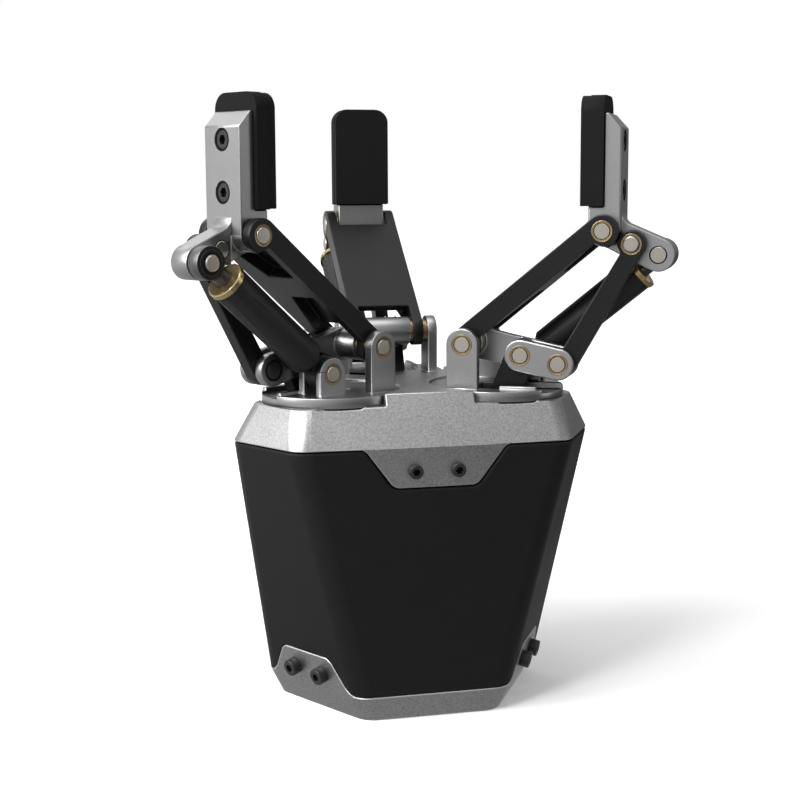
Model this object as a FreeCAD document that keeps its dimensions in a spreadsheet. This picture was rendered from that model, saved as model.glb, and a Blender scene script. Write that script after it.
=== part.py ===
import FreeCAD, Part
import Sketcher
import math
import os
import re

# Three jaw centric gripper, millimetres.
# Origin at the centre of the base's underside, +Z up towards the fingertips.
# The rear finger stands at +Y, the right finger at -30 degrees and the left one at -150 degrees.
# Every finger is drawn once in its own frame (X radial outwards, Y across, Z up) and turned into place.

doc = FreeCAD.newDocument("gripper")
dim = doc.addObject("Spreadsheet::Sheet", "dim")

SIZES = {
    # finger layout
    "rearDirection": 90,
    "fingerPitch": 120,
    "discRadial": 32.33,
    # pivots of one finger: shoulder, wrist, drive pin, strut pins, crank
    "shoulderRadial": 24.76,
    "shoulderRise": 14.35,
    "linkRun": 43.67,
    "linkRise": 36.05,
    "strutRun": 16.5,
    "strutDrop": 7.61,
    "driveRun": 8.67,
    "driveDrop": 4.1,
    "crankLength": 30.53,
    "crankTilt": 11.83,
    "elbowReach": 18.05,
    "rodHeadDrop": 8.7,
    # pins and plain bearings
    "pinRadius": 2.5,
    "pinProud": 0.9,
    "runningGap": 0.03,
    "faceGap": 0.1,
    "eyeRadius": 5.15,
    "openBore": 3.45,
    # turntable
    "discRadius": 21.8,
    "deckBottom": 100.8,
    "deckTop": 104.1,
    "earInner": 14.1,
    "earThickness": 3.3,
    "recessNear": 0.4,
    "recessFar": 12.7,
    "recessDepth": 1.1,
    "recessInside": 4,
    "slotSide": 0.5,
    "slotStartBack": 5.6,
    "slotEnd": 11.2,
    "kerbWidth": 1.8,
    "kerbHeight": 1.1,
    "strutEarInner": 3.9,
    "strutEarGap": 5.6,
    "strutEarThickness": 2.5,
    # main link
    "armInner": 9.1,
    "armThickness": 3.5,
    "linkBelow": 3.2,
    "linkWeb": 2.6,
    "windowEnd": 7.4,
    "slotStart": 50.9,
    "upperPocketStart": 37.2,
    "wristRelief": 3.2,
    "upperPocketLow": 2.6,
    "upperPocketHigh": 6.6,
    "lowerPocketEnd": 27,
    "lowerPocketLow": 7.7,
    "lowerPocketHigh": 1.4,
    # fingertip
    "plateHalf": 8.45,
    "plateRadius": 5.05,
    "plateStep": 7.5,
    "plateTop": 36.5,
    "plateFront": -0.2,
    "plateChamfer": 4.1,
    "plateChamferHeight": 4.5,
    "armHalf": 3.9,
    "armEyeRadius": 5.3,
    "armFillet": 4,
    "tipScrewLow": 12.6,
    "tipScrewPitch": 15.5,
    "tipBore": 3.1,
    "tipHeadSink": 2.6,
    # pad
    "padThickness": 7.25,
    "padHalf": 10,
    "padHeight": 34.6,
    "padRound": 5,
    "padSkin": 2.6,
    "padInset": 0.2,
    # crank and outer plate
    "barrelRadius": 4.9,
    "barrelHalf": 8.2,
    "crankNear": 0.6,
    "crankThickness": 3.4,
    "plateGap": 5,
    "plateThickness": 2.5,
    # drive link
    "driveRelief": 1.5,
    "driveEyeRadius": 4.4,
    # push link and push rod
    "pushRadius": 4.3,
    "pushPin": 2,
    "pushBore": 3,
    "rodRadius": 3,
    "rodHeadHalf": 3.2,
    # strut
    "tubeRadius": 5.7,
    "tubeStart": 8.6,
    "tubeEnd": 46.9,
    "tubeNose": 5.8,
    "noseRadius": 3.4,
    "strutEyeHalf": 2.7,
    "collarLength": 1.6,
    "collarRadius": 6.3,
    "rodStem": 2.7,
    "rodEyeRadius": 5.1,
    "rodEyeHalf": 2.3,
    # body
    "bottomApothem": 37.47,
    "rimHeight": 8.5,
    "rimFlat": 40.6,
    "rimCorner": 41.6,
    "shellTop": 88.84,
    "topFlat": 44.28,
    "topCorner": 60.14,
    "shellRound": 8.2,
    "shellWall": 2.6,
    "seam": 0.3,
    "coverTop": 104.8,
    "coverFlat": 35.58,
    "coverCorner": 53.76,
    "coverShelf": 101,
    "pocketFloor": 100.5,
    "pocketClearance": 0.6,
    "seatRadius": 15.6,
    "stepHalf": 14.4,
    "coverRoof": 3.5,
    "coverTabTop": 22.9,
    "coverTabBottom": 13.4,
    "coverTabDepth": 12.7,
    "tabRound": 4,
    "footRound": 7,
    "baseTabTop": 11.2,
    "baseTabBottom": 18.6,
    "baseTabHeight": 19.7,
    # screws of the body
    "coverScrewPitch": 13.7,
    "coverScrewHeight": 81.5,
    "baseScrewPitch": 13.2,
    "baseScrewHeight": 13.4,
    "smallHeadHeight": 2.2,
    "bigHeadHeight": 3,
    "smallHead": 2.25,
    "bigHead": 2.75,
    # flange pattern in the base
    "flangeCircle": 50,
    "flangeHole": 3,
    # drive inside the housing
    "motorHalf": 17,
    "motorHeight": 47,
    "screwRadius": 4,
    "screwTop": 87,
    "yokeBottom": 64,
    "yokeThickness": 7,
    "yokeArm": 13,
    "yokeEnd": 6.5,
}

for row, (alias, value) in enumerate(SIZES.items(), start=1):
    dim.set(f"A{row}", alias)
    dim.set(f"B{row}", str(value))
    dim.setAlias(f"B{row}", alias)
doc.recompute()


# A formula written with bare size names, bound to the sizes above
def bound(text):
    return re.sub(r"[A-Za-z_]\w*", lambda word: "dim." + word[0] if word[0] in SIZES else word[0], text)


def number(text):
    value = dim.evalExpression(bound(text))
    return float(getattr(value, "Value", value))


# Places that several pieces share, as expressions in the finger's frame
LINK_LENGTH = "hypot(linkRun; linkRise)"
LINK_ANGLE = "atan2(linkRise; linkRun)"
CRANK_RUN = "(crankLength * cos(crankTilt))"
CRANK_DROP = "(crankLength * sin(crankTilt))"
SHOULDER_HEIGHT = "(deckTop + shoulderRise)"
ROD_HEAD_HEIGHT = "(deckBottom - rodHeadDrop)"
COVER_CEILING = "(pocketFloor - coverRoof)"
ELBOW_RADIAL = "(shoulderRadial + elbowReach * cos(crankTilt))"
ELBOW_HEIGHT = f"({SHOULDER_HEIGHT} - elbowReach * sin(crankTilt))"
HEAD_RADIAL = f"(shoulderRadial + {CRANK_RUN})"
HEAD_HEIGHT = f"({SHOULDER_HEIGHT} - {CRANK_DROP})"
DRIVE_ACROSS = f"(linkRun + driveRun - {CRANK_RUN})"
DRIVE_UP = f"(linkRise - driveDrop + {CRANK_DROP})"
DRIVE_LENGTH = f"hypot({DRIVE_ACROSS}; {DRIVE_UP})"
DRIVE_ANGLE = f"atan2({DRIVE_UP}; {DRIVE_ACROSS})"
PUSH_ACROSS = f"({ELBOW_RADIAL} - discRadial)"
PUSH_UP = f"({ELBOW_HEIGHT} - {ROD_HEAD_HEIGHT})"
PUSH_LENGTH = f"hypot({PUSH_ACROSS}; {PUSH_UP})"
PUSH_ANGLE = f"atan2({PUSH_UP}; {PUSH_ACROSS})"
EAR_OUTER = "(earInner + earThickness)"
ARM_OUTER = "(armInner + armThickness)"
STRUT_EAR_OUTER = "(strutEarInner + strutEarGap + strutEarThickness)"
STRUT_MIDDLE = "(strutEarInner + strutEarGap / 2)"
CRANK_FAR = "(crankNear + crankThickness)"
PLATE_NEAR = f"({CRANK_FAR} + plateGap)"
PLATE_FAR = f"({PLATE_NEAR} + plateThickness)"
WRIST_RADIAL = "(shoulderRadial + linkRun)"
WRIST_HEIGHT = f"({SHOULDER_HEIGHT} + linkRise)"
STRUT_FOOT_RADIAL = "(shoulderRadial + strutRun)"
STRUT_FOOT_HEIGHT = f"({SHOULDER_HEIGHT} - strutDrop)"


def in_finger(direction, radial="0", height="0", pitch="0"):
    return (f"placement(vector(0; 0; 0); rotation({direction}; 0; 0))"
            f" * placement(vector({radial}; 0; {height}); rotation(0; {pitch}; 0))")


def place(piece, text):
    piece.setExpression("Placement", bound(text))
    return piece


# Which way each drawing plane faces
NORMAL_SIGN = {"XY_Plane": 1, "XZ_Plane": -1, "YZ_Plane": 1}


def new_body(label):
    body = doc.addObject("PartDesign::Body", label)
    body.Label = label
    return body


def sketch_on(body, role, level="0"):
    plane = next(item for item in body.Origin.OriginFeatures if item.Role == role)
    sketch = body.newObject("Sketcher::SketchObject", body.Name + "Sketch")
    sketch.AttachmentSupport = [(plane, "")]
    sketch.MapMode = "FlatFace"
    sketch.setExpression("AttachmentOffset.Base.z", bound(f"{NORMAL_SIGN[role]} * ({level})"))
    return sketch


def bind(sketch, constraint, text):
    index = sketch.addConstraint(constraint)
    sketch.setExpression(f"Constraints[{index}]", bound(text))


def fix_point(sketch, item, spot, x, y):
    bind(sketch, Sketcher.Constraint("DistanceX", -1, 1, item, spot, number(x)), x)
    bind(sketch, Sketcher.Constraint("DistanceY", -1, 1, item, spot, number(y)), y)


def circle(sketch, x, y, radius):
    middle = FreeCAD.Vector(number(x), number(y), 0)
    item = sketch.addGeometry(Part.Circle(middle, FreeCAD.Vector(0, 0, 1), number(radius)))
    fix_point(sketch, item, 3, x, y)
    bind(sketch, Sketcher.Constraint("Radius", item, number(radius)), radius)
    return sketch


def polygon(sketch, corners):
    first = sketch.GeometryCount
    points = [FreeCAD.Vector(number(x), number(y), 0) for x, y in corners]
    for here, there in zip(points, points[1:] + points[:1]):
        sketch.addGeometry(Part.LineSegment(here, there))
    for step, (x, y) in enumerate(corners):
        before = first + (step - 1) % len(corners)
        sketch.addConstraint(Sketcher.Constraint("Coincident", before, 2, first + step, 1))
        fix_point(sketch, first + step, 1, x, y)
    return sketch


# Circles in counterclockwise order joined by their outer tangents: a link, an eye, a rounded plate
def hull(sketch, circles):
    middles = [FreeCAD.Vector(number(x), number(y), 0) for x, y, radius in circles]
    radii = [number(radius) for x, y, radius in circles]
    count = len(circles)
    normals = []
    for i in range(count):
        way = middles[(i + 1) % count] - middles[i]
        spread = math.acos((radii[i] - radii[(i + 1) % count]) / way.Length)
        normals.append(math.atan2(way.y, way.x) - spread)

    def rim(i, angle):
        return middles[i] + FreeCAD.Vector(radii[i] * math.cos(angle), radii[i] * math.sin(angle), 0)

    arcs, lines = [], []
    for i in range(count):
        turn = (normals[i] - normals[i - 1]) % (2 * math.pi)
        round_part = Part.Circle(middles[i], FreeCAD.Vector(0, 0, 1), radii[i])
        arcs.append(sketch.addGeometry(Part.ArcOfCircle(round_part, normals[i - 1], normals[i - 1] + turn)))
        lines.append(sketch.addGeometry(Part.LineSegment(rim(i, normals[i]), rim((i + 1) % count, normals[i]))))
    for i, (x, y, radius) in enumerate(circles):
        sketch.addConstraint(Sketcher.Constraint("Tangent", arcs[i], 2, lines[i], 1))
        sketch.addConstraint(Sketcher.Constraint("Tangent", lines[i], 2, arcs[(i + 1) % count], 1))
        fix_point(sketch, arcs[i], 3, x, y)
        bind(sketch, Sketcher.Constraint("Radius", arcs[i], radii[i]), radius)
    return sketch


# An upright ear: a round top over straight sides
def ear_outline(sketch, x, y, radius, foot):
    middle = FreeCAD.Vector(number(x), number(y), 0)
    r, floor = number(radius), number(foot)
    side = FreeCAD.Vector(r, 0, 0)
    low_right = FreeCAD.Vector(middle.x + r, floor, 0)
    low_left = FreeCAD.Vector(middle.x - r, floor, 0)
    top = sketch.addGeometry(Part.ArcOfCircle(Part.Circle(middle, FreeCAD.Vector(0, 0, 1), r), 0, math.pi))
    left = sketch.addGeometry(Part.LineSegment(middle - side, low_left))
    bottom = sketch.addGeometry(Part.LineSegment(low_left, low_right))
    right = sketch.addGeometry(Part.LineSegment(low_right, middle + side))
    sketch.addConstraint(Sketcher.Constraint("Tangent", top, 2, left, 1))
    sketch.addConstraint(Sketcher.Constraint("Coincident", left, 2, bottom, 1))
    sketch.addConstraint(Sketcher.Constraint("Coincident", bottom, 2, right, 1))
    sketch.addConstraint(Sketcher.Constraint("Tangent", right, 2, top, 1))
    sketch.addConstraint(Sketcher.Constraint("Vertical", left))
    sketch.addConstraint(Sketcher.Constraint("Vertical", right))
    fix_point(sketch, top, 3, x, y)
    bind(sketch, Sketcher.Constraint("Radius", top, r), radius)
    bind(sketch, Sketcher.Constraint("DistanceY", -1, 1, left, 2, floor), foot)
    return sketch


# Material added or taken away from an outline towards + or - of its axis, or to both sides
def extrude(body, kind, sketch, length, towards="+"):
    feature = body.newObject("PartDesign::" + kind, body.Name + kind)
    feature.Profile = sketch
    feature.setExpression("Length", bound(length))
    if towards == "both":
        feature.SideType = "Symmetric"
    else:
        plane = sketch.AttachmentSupport[0][0].Role
        natural = NORMAL_SIGN[plane] * (1 if kind == "Pad" else -1)
        feature.Reversed = natural != (1 if towards == "+" else -1)
    return feature


def pad(body, sketch, length, towards="+"):
    return extrude(body, "Pad", sketch, length, towards)


def pocket(body, sketch, length, towards="+"):
    return extrude(body, "Pocket", sketch, length, towards)


# Rounded or bevelled edges, picked by a test
def dress(body, kind, size, picks):
    doc.recompute()
    base = body.Tip
    names = [f"Edge{i + 1}" for i, edge in enumerate(base.Shape.Edges) if picks(edge)]
    feature = body.newObject("PartDesign::" + kind, body.Name + kind)
    feature.Base = (base, names)
    feature.setExpression("Radius" if kind == "Fillet" else "Size", bound(size))
    return feature


SLANT = 0.01


def runs_along(edge, axis):
    ends = edge.Vertexes
    if len(ends) != 2 or edge.Curve.TypeId != "Part::GeomLine":
        return False
    way = (ends[1].Point - ends[0].Point).normalize()
    return way.cross(axis).Length < SLANT


# A round bar along one axis of the frame
def rod(name, axis, radius, start, end, x="0", y="0"):
    piece = doc.addObject("Part::Cylinder", name)
    piece.setExpression("Radius", bound(radius))
    piece.setExpression("Height", bound(f"({end}) - ({start})"))
    places = {
        "X": f"placement(vector({start}; {x}; {y}); rotation(0; 90; 0))",
        "Y": f"placement(vector({x}; {start}; {y}); rotation(0; 0; -90))",
        "Z": f"placement(vector({x}; {y}; {start}); rotation(0; 0; 0))",
    }
    return place(piece, places[axis])


def block(name, x, y, z, length, width, height):
    piece = doc.addObject("Part::Box", name)
    piece.setExpression("Length", bound(length))
    piece.setExpression("Width", bound(width))
    piece.setExpression("Height", bound(height))
    return place(piece, f"placement(vector({x}; {y}; {z}); rotation(0; 0; 0))")


def cut(label, base, tool):
    piece = doc.addObject("Part::Cut", label)
    piece.Base, piece.Tool = base, tool
    piece.Label = label
    return piece


def fuse(label, shapes):
    piece = doc.addObject("Part::MultiFuse", label)
    piece.Shapes = shapes
    piece.Label = label
    return piece


def together(label, shapes):
    piece = doc.addObject("Part::Compound", label)
    piece.Links = shapes
    piece.Label = label
    return piece


nodes = []


def node(piece):
    nodes.append(piece)
    return piece


# The turntable that carries a finger: disc, shoulder ears with their pin, strut ears with theirs, and the
# slot through which the push rod and the push link pass
def turntable(name, direction):
    body = new_body(name + "_turntable")
    pad(body, circle(sketch_on(body, "XY_Plane", "deckBottom"), "0", "0", "discRadius"), "deckTop - deckBottom")
    recess = polygon(sketch_on(body, "XY_Plane", "deckTop"), [
        ("-recessInside", "-recessFar"), ("discRadius + 1", "-recessFar"),
        ("discRadius + 1", "-recessNear"), ("-recessInside", "-recessNear")])
    pocket(body, recess, "recessDepth", "-")
    for low, high in (("-recessFar - kerbWidth", "-recessFar"), ("-recessNear", "kerbWidth - recessNear")):
        reach = f"sqrt(discRadius ^ 2 - max(({low}) ^ 2; ({high}) ^ 2)) - seam"
        kerb = polygon(sketch_on(body, "XY_Plane", "deckTop - recessDepth"), [
            ("recessInside", low), (reach, low), (reach, high), ("recessInside", high)])
        pad(body, kerb, "recessDepth + kerbHeight")
    shoulder = ("shoulderRadial - discRadial", SHOULDER_HEIGHT)
    foot = (f"{STRUT_FOOT_RADIAL} - discRadial", STRUT_FOOT_HEIGHT)
    ears = (
        (*shoulder, "earInner", "earThickness"),
        (*shoulder, f"-{EAR_OUTER}", "earThickness"),
        (*foot, "strutEarInner - strutEarThickness", "strutEarThickness"),
        (*foot, "strutEarInner + strutEarGap", "strutEarThickness"))
    for x, z, level, thickness in ears:
        outline = ear_outline(sketch_on(body, "XZ_Plane", level), x, z, "eyeRadius", "deckTop - recessDepth")
        pad(body, outline, thickness)
    pad(body, circle(sketch_on(body, "XZ_Plane", "-earInner"), *shoulder, "pinRadius"), "2 * earInner")
    pad(body, circle(sketch_on(body, "XZ_Plane", "strutEarInner"), *foot, "pinRadius"), "strutEarGap")
    slot = polygon(sketch_on(body, "XY_Plane", "deckTop + kerbHeight"), [
        ("-slotStartBack", f"-{PLATE_NEAR} - slotSide"), ("slotEnd", f"-{PLATE_NEAR} - slotSide"),
        ("slotEnd", f"slotSide - {CRANK_FAR}"), ("rodHeadHalf + slotSide", f"slotSide - {CRANK_FAR}"),
        ("rodHeadHalf + slotSide", "rodHeadHalf + slotSide"),
        ("-slotStartBack", "rodHeadHalf + slotSide")])
    pocket(body, slot, "deckTop + kerbHeight - deckBottom + 1", "-")
    return place(body, in_finger(direction, "discRadial"))


# Where a relief cuts into a link's round end and where it leaves it, as shares of the end's radius
RELIEF_IN = 0.82
RELIEF_OUT = 0.15


# What is taken off one edge of a link between its two round ends
def relief(body, length, eye, depth, side):
    ends = ((f"{eye} * {RELIEF_IN}", depth), (f"{length} - {eye} * {RELIEF_IN}", depth),
            (f"{length} - {eye} * {RELIEF_OUT}", f"{eye} + 1"), (f"{eye} * {RELIEF_OUT}", f"{eye} + 1"))
    corners = [(x, f"{side} * ({z})") for x, z in ends]
    return polygon(sketch_on(body, "XZ_Plane"), corners)


def main_link(name, direction):
    body = new_body(name + "_main_link")
    outline = hull(sketch_on(body, "XZ_Plane"), [("0", "0", "eyeRadius"), (LINK_LENGTH, "0", "eyeRadius")])
    pad(body, outline, f"2 * {ARM_OUTER}", "both")
    pocket(body, relief(body, LINK_LENGTH, "eyeRadius", "linkBelow", "-1"), f"2 * {ARM_OUTER} + 2", "both")
    window = sketch_on(body, "XY_Plane")
    polygon(window, [("-eyeRadius - 1", "-armInner"), ("windowEnd", "-armInner"),
                     ("windowEnd", "armInner"), ("-eyeRadius - 1", "armInner")])
    polygon(window, [("slotStart", "-armInner"), (f"{LINK_LENGTH} + eyeRadius + 1", "-armInner"),
                     (f"{LINK_LENGTH} + eyeRadius + 1", "armInner"), ("slotStart", "armInner")])
    pocket(body, window, "2 * eyeRadius + 2", "both")
    under = sketch_on(body, "XY_Plane", "-eyeRadius")
    polygon(under, [("slotStart - wristRelief", "-upperPocketHigh"), ("slotStart - wristRelief", "armInner"),
                    ("upperPocketStart", "armInner"), ("upperPocketStart", "-upperPocketLow")])
    polygon(under, [("slotStart + 1", "-armInner"), ("slotStart + 1", "armInner"),
                    ("slotStart - wristRelief", "armInner"), ("slotStart - wristRelief", "-armInner")])
    polygon(under, [("lowerPocketEnd", "-lowerPocketHigh"), ("lowerPocketEnd", "armInner"),
                    ("windowEnd - 1", "armInner"), ("windowEnd - 1", "-lowerPocketLow")])
    pocket(body, under, "2 * eyeRadius - linkWeb", "+")
    bores = sketch_on(body, "XZ_Plane")
    circle(bores, "0", "0", "pinRadius + runningGap")
    circle(bores, LINK_LENGTH, "0", "pinRadius + runningGap")
    pocket(body, bores, f"2 * {ARM_OUTER} + 2", "both")
    return place(body, in_finger(direction, "shoulderRadial", SHOULDER_HEIGHT, f"-{LINK_ANGLE}"))


def fingertip(name, direction):
    body = new_body(name + "_fingertip")
    pad(body, circle(sketch_on(body, "XZ_Plane"), "0", "0", "plateRadius"), "2 * plateHalf", "both")
    plate = polygon(sketch_on(body, "XZ_Plane"), [
        ("-plateRadius", "0"), ("plateRadius", "0"), ("plateRadius", "plateTop - plateChamferHeight"),
        ("plateRadius - plateChamfer", "plateTop"), ("plateFront", "plateTop"), ("plateFront", "plateStep"),
        ("-plateRadius", "plateStep")])
    pad(body, plate, "2 * plateHalf", "both")
    arm = hull(sketch_on(body, "XZ_Plane"),
               [("0", "0", "plateRadius - seam"), ("strutRun", "-strutDrop", "armEyeRadius")])
    pad(body, arm, "2 * armHalf", "both")
    side = FreeCAD.Vector(0, 1, 0)
    corner = number("plateRadius")
    dress(body, "Fillet", "armFillet", lambda edge: runs_along(edge, side)
          and abs(edge.Vertexes[0].Point.x - corner) < 0.01 and 0.5 < edge.Vertexes[0].Point.z < corner)
    for x, z, start, end in (
            ("0", "0", f"faceGap - {ARM_OUTER}", f"{ARM_OUTER} - faceGap"),
            ("driveRun", "-driveDrop", f"faceGap - {PLATE_NEAR} - pinProud", "0"),
            ("strutRun", "-strutDrop", "0", f"{STRUT_MIDDLE} + rodEyeHalf + pinProud")):
        pad(body, circle(sketch_on(body, "XZ_Plane", start), x, z, "pinRadius"), f"({end}) - ({start})")
    sinks = sketch_on(body, "YZ_Plane", "plateRadius")
    circle(sinks, "0", "tipScrewLow", "tipBore")
    circle(sinks, "0", "tipScrewLow + tipScrewPitch", "tipBore")
    pocket(body, sinks, "tipHeadSink", "-")
    return place(body, in_finger(direction, WRIST_RADIAL, WRIST_HEIGHT))


def fingertip_pad(name, direction):
    body = new_body(name + "_fingertip_pad")
    for inset, start, depth in (("0", "plateFront - padThickness + padSkin", "padThickness - padSkin"),
                                ("padInset", "plateFront - padThickness", "padSkin")):
        top = "plateStep + padHeight - padRound"
        half = "padHalf - padRound"
        face = sketch_on(body, "YZ_Plane", start)
        low = f"plateStep + {inset} + seam"
        hull(face, [(f"{inset} + seam - padHalf", low, "seam"), (f"padHalf - {inset} - seam", low, "seam"),
                    (half, top, f"padRound - {inset}"), (f"-({half})", top, f"padRound - {inset}")])
        pad(body, face, depth)
    return place(body, in_finger(direction, WRIST_RADIAL, WRIST_HEIGHT))


# The crank turns on the shoulder pin; two pins join its arm to the outer plate, and the links run between
def crank(name, direction):
    body = new_body(name + "_crank")
    pad(body, circle(sketch_on(body, "XZ_Plane"), "0", "0", "barrelRadius"), "2 * barrelHalf", "both")
    arm = hull(sketch_on(body, "XZ_Plane", f"-{CRANK_FAR}"),
               [("0", "0", "barrelRadius"), ("crankLength", "0", "eyeRadius")])
    pad(body, arm, "crankThickness")
    plate = hull(sketch_on(body, "XZ_Plane", f"-{PLATE_FAR}"),
                 [("elbowReach", "0", "eyeRadius"), ("crankLength", "0", "eyeRadius")])
    pins = sketch_on(body, "XZ_Plane", f"-{PLATE_NEAR}")
    circle(pins, "elbowReach", "0", "pinRadius")
    circle(pins, "crankLength", "0", "pinRadius")
    pad(body, pins, "plateGap")
    pad(body, plate, "plateThickness")
    bore = circle(sketch_on(body, "XZ_Plane"), "0", "0", "pinRadius + runningGap")
    pocket(body, bore, "2 * barrelHalf + 2", "both")
    return place(body, in_finger(direction, "shoulderRadial", SHOULDER_HEIGHT, "crankTilt"))


# The drive link runs beside the crank's arm, from its fork up to the fingertip's drive pin
def drive_link(name, direction):
    body = new_body(name + "_drive_link")
    outline = hull(sketch_on(body, "XZ_Plane", f"faceGap - {PLATE_NEAR}"),
                   [("0", "0", "eyeRadius"), (DRIVE_LENGTH, "0", "driveEyeRadius")])
    pad(body, outline, "plateGap - 2 * faceGap")
    pocket(body, relief(body, DRIVE_LENGTH, "eyeRadius", "driveRelief", "1"), f"2 * {PLATE_NEAR} + 2", "both")
    bores = sketch_on(body, "XZ_Plane")
    circle(bores, "0", "0", "openBore")
    circle(bores, DRIVE_LENGTH, "0", "pinRadius + runningGap")
    pocket(body, bores, f"2 * {PLATE_NEAR} + 2", "both")
    return place(body, in_finger(direction, HEAD_RADIAL, HEAD_HEIGHT, f"-{DRIVE_ANGLE}"))


def push_link(name, direction):
    body = new_body(name + "_push_link")
    outline = hull(sketch_on(body, "XZ_Plane", f"faceGap - {PLATE_NEAR}"),
                   [("0", "0", "pushRadius"), (PUSH_LENGTH, "0", "eyeRadius")])
    pad(body, outline, "plateGap - 2 * faceGap")
    bores = sketch_on(body, "XZ_Plane")
    circle(bores, "0", "0", "pushBore")
    circle(bores, PUSH_LENGTH, "0", "pinRadius + runningGap")
    pocket(body, bores, f"2 * {PLATE_NEAR} + 2", "both")
    return place(body, in_finger(direction, "discRadial", ROD_HEAD_HEIGHT, f"-{PUSH_ANGLE}"))


def push_rod(name, direction):
    head_low = f"{ROD_HEAD_HEIGHT} - rodHeadHalf"
    stem = rod(name + "RodStem", "Z", "rodRadius", "yokeBottom", head_low)
    head = block(name + "RodHead", "-rodHeadHalf", "-rodHeadHalf", head_low,
                 "2 * rodHeadHalf", "2 * rodHeadHalf", "2 * rodHeadHalf")
    pin = rod(name + "RodPin", "Y", "pushPin", f"faceGap - {PLATE_NEAR}", "-rodHeadHalf", "0", ROD_HEAD_HEIGHT)
    return place(fuse(name + "_push_rod", [stem, head, pin]), in_finger(direction, "discRadial"))


# The sprung strut: an eye and a tube with a hexagonal end collar, and the rod that slides in it
def strut_tube(name, direction):
    nose = doc.addObject("Part::Cone", name + "Nose")
    for size, text in (("Radius1", "noseRadius"), ("Radius2", "tubeRadius"),
                       ("Height", "tubeStart - tubeNose")):
        nose.setExpression(size, bound(text))
    place(nose, f"placement(vector(tubeNose; {STRUT_MIDDLE}; 0); rotation(0; 90; 0))")
    eye = rod(name + "TubeEye", "Y", "eyeRadius", f"{STRUT_MIDDLE} - strutEyeHalf",
              f"{STRUT_MIDDLE} + strutEyeHalf")
    neck = block(name + "TubeNeck", "0", f"{STRUT_MIDDLE} - strutEyeHalf", "-noseRadius", "tubeNose",
                 "2 * strutEyeHalf", "2 * noseRadius")
    tube = rod(name + "TubeBarrel", "X", "tubeRadius", "tubeStart", "tubeEnd", STRUT_MIDDLE)
    collar = doc.addObject("Part::Prism", name + "TubeCollar")
    collar.Polygon = 6
    collar.setExpression("Circumradius", bound("collarRadius"))
    collar.setExpression("Height", bound("collarLength"))
    place(collar, f"placement(vector(tubeEnd; {STRUT_MIDDLE}; 0); rotation(0; 90; 0))")
    pin = rod(name + "TubeBore", "Y", "pinRadius + runningGap", "strutEarInner - 1",
              "strutEarInner + strutEarGap + 1")
    hollow = rod(name + "TubeHollow", "X", "rodStem + runningGap", "tubeEnd / 2 - 1",
                 "tubeEnd + collarLength + 1", STRUT_MIDDLE)
    whole = cut(name + "_strut_tube", fuse(name + "TubeSolid", [eye, neck, nose, tube, collar]),
                fuse(name + "TubeTools", [pin, hollow]))
    return place(whole, in_finger(direction, STRUT_FOOT_RADIAL, STRUT_FOOT_HEIGHT, f"-{LINK_ANGLE}"))


def strut_rod(name, direction):
    stem = rod(name + "StrutStem", "X", "rodStem", "tubeEnd / 2", f"{LINK_LENGTH} - 2 * pinRadius",
               STRUT_MIDDLE)
    eye = rod(name + "StrutEye", "Y", "rodEyeRadius", f"{STRUT_MIDDLE} - rodEyeHalf",
              f"{STRUT_MIDDLE} + rodEyeHalf", LINK_LENGTH)
    bore = rod(name + "StrutBore", "Y", "pinRadius + runningGap", "strutEarInner - 1", f"{STRUT_EAR_OUTER} + 1",
               LINK_LENGTH)
    whole = cut(name + "_strut_rod", fuse(name + "StrutSolid", [stem, eye]), bore)
    return place(whole, in_finger(direction, STRUT_FOOT_RADIAL, STRUT_FOOT_HEIGHT, f"-{LINK_ANGLE}"))


FINGER_PIECES = (turntable, main_link, fingertip, fingertip_pad, crank, drive_link, push_link, push_rod,
                 strut_tube, strut_rod)
FINGERS = {"rear": "rearDirection", "right": "(rearDirection - fingerPitch)",
           "left": "(rearDirection + fingerPitch)"}
for finger, direction in FINGERS.items():
    for piece in FINGER_PIECES:
        node(piece(finger, direction))


# Corners of a six sided outline whose three wide faces and three narrow faces have their own apothems
def six_corners(flat, corner):
    side = f"((({corner}) - ({flat}) / 2) / sin(60))"
    points = []
    for facing in WIDE_FACES:
        for sign in ("-", "+"):
            points.append((f"({flat}) * cos({facing}) {'+' if sign == '-' else '-'} {side} * sin({facing})",
                           f"({flat}) * sin({facing}) {sign} {side} * cos({facing})"))
    return points


# Draft on the faces of a straight sided body that look in given directions
def draft(body, angle, facings):
    doc.recompute()
    base = body.Tip
    faces = base.Shape.Faces
    looks = [FreeCAD.Vector(number(f"cos({facing})"), number(f"sin({facing})"), 0) for facing in facings]
    names = [f"Face{i + 1}" for i, face in enumerate(faces)
             if any(face.normalAt(0, 0).dot(way) > 0.9 for way in looks)]
    floor = min(range(len(faces)), key=lambda i: faces[i].CenterOfMass.z)
    feature = body.newObject("PartDesign::Draft", body.Name + "Draft")
    feature.Base = (base, names)
    feature.NeutralPlane = (base, [f"Face{floor + 1}"])
    feature.setExpression("Angle", bound(f"abs({angle})"))
    feature.Reversed = number(angle) > 0
    return feature


# A six sided form between two levels, each (height, apothem of the wide faces, apothem of the narrow faces)
def tapered_form(label, low, high, rounding=None):
    body = new_body(label)
    rise = f"(({high[0]}) - ({low[0]}))"
    pad(body, polygon(sketch_on(body, "XY_Plane", low[0]), six_corners(*low[1:])), rise)
    draft(body, f"atan((({high[1]}) - ({low[1]})) / {rise})", WIDE_FACES)
    draft(body, f"atan((({high[2]}) - ({low[2]})) / {rise})", NARROW_FACES)
    if rounding:
        dress(body, "Fillet", rounding, lambda edge: abs(edge.tangentAt(edge.FirstParameter).z) > 0.2)
    return body


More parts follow.
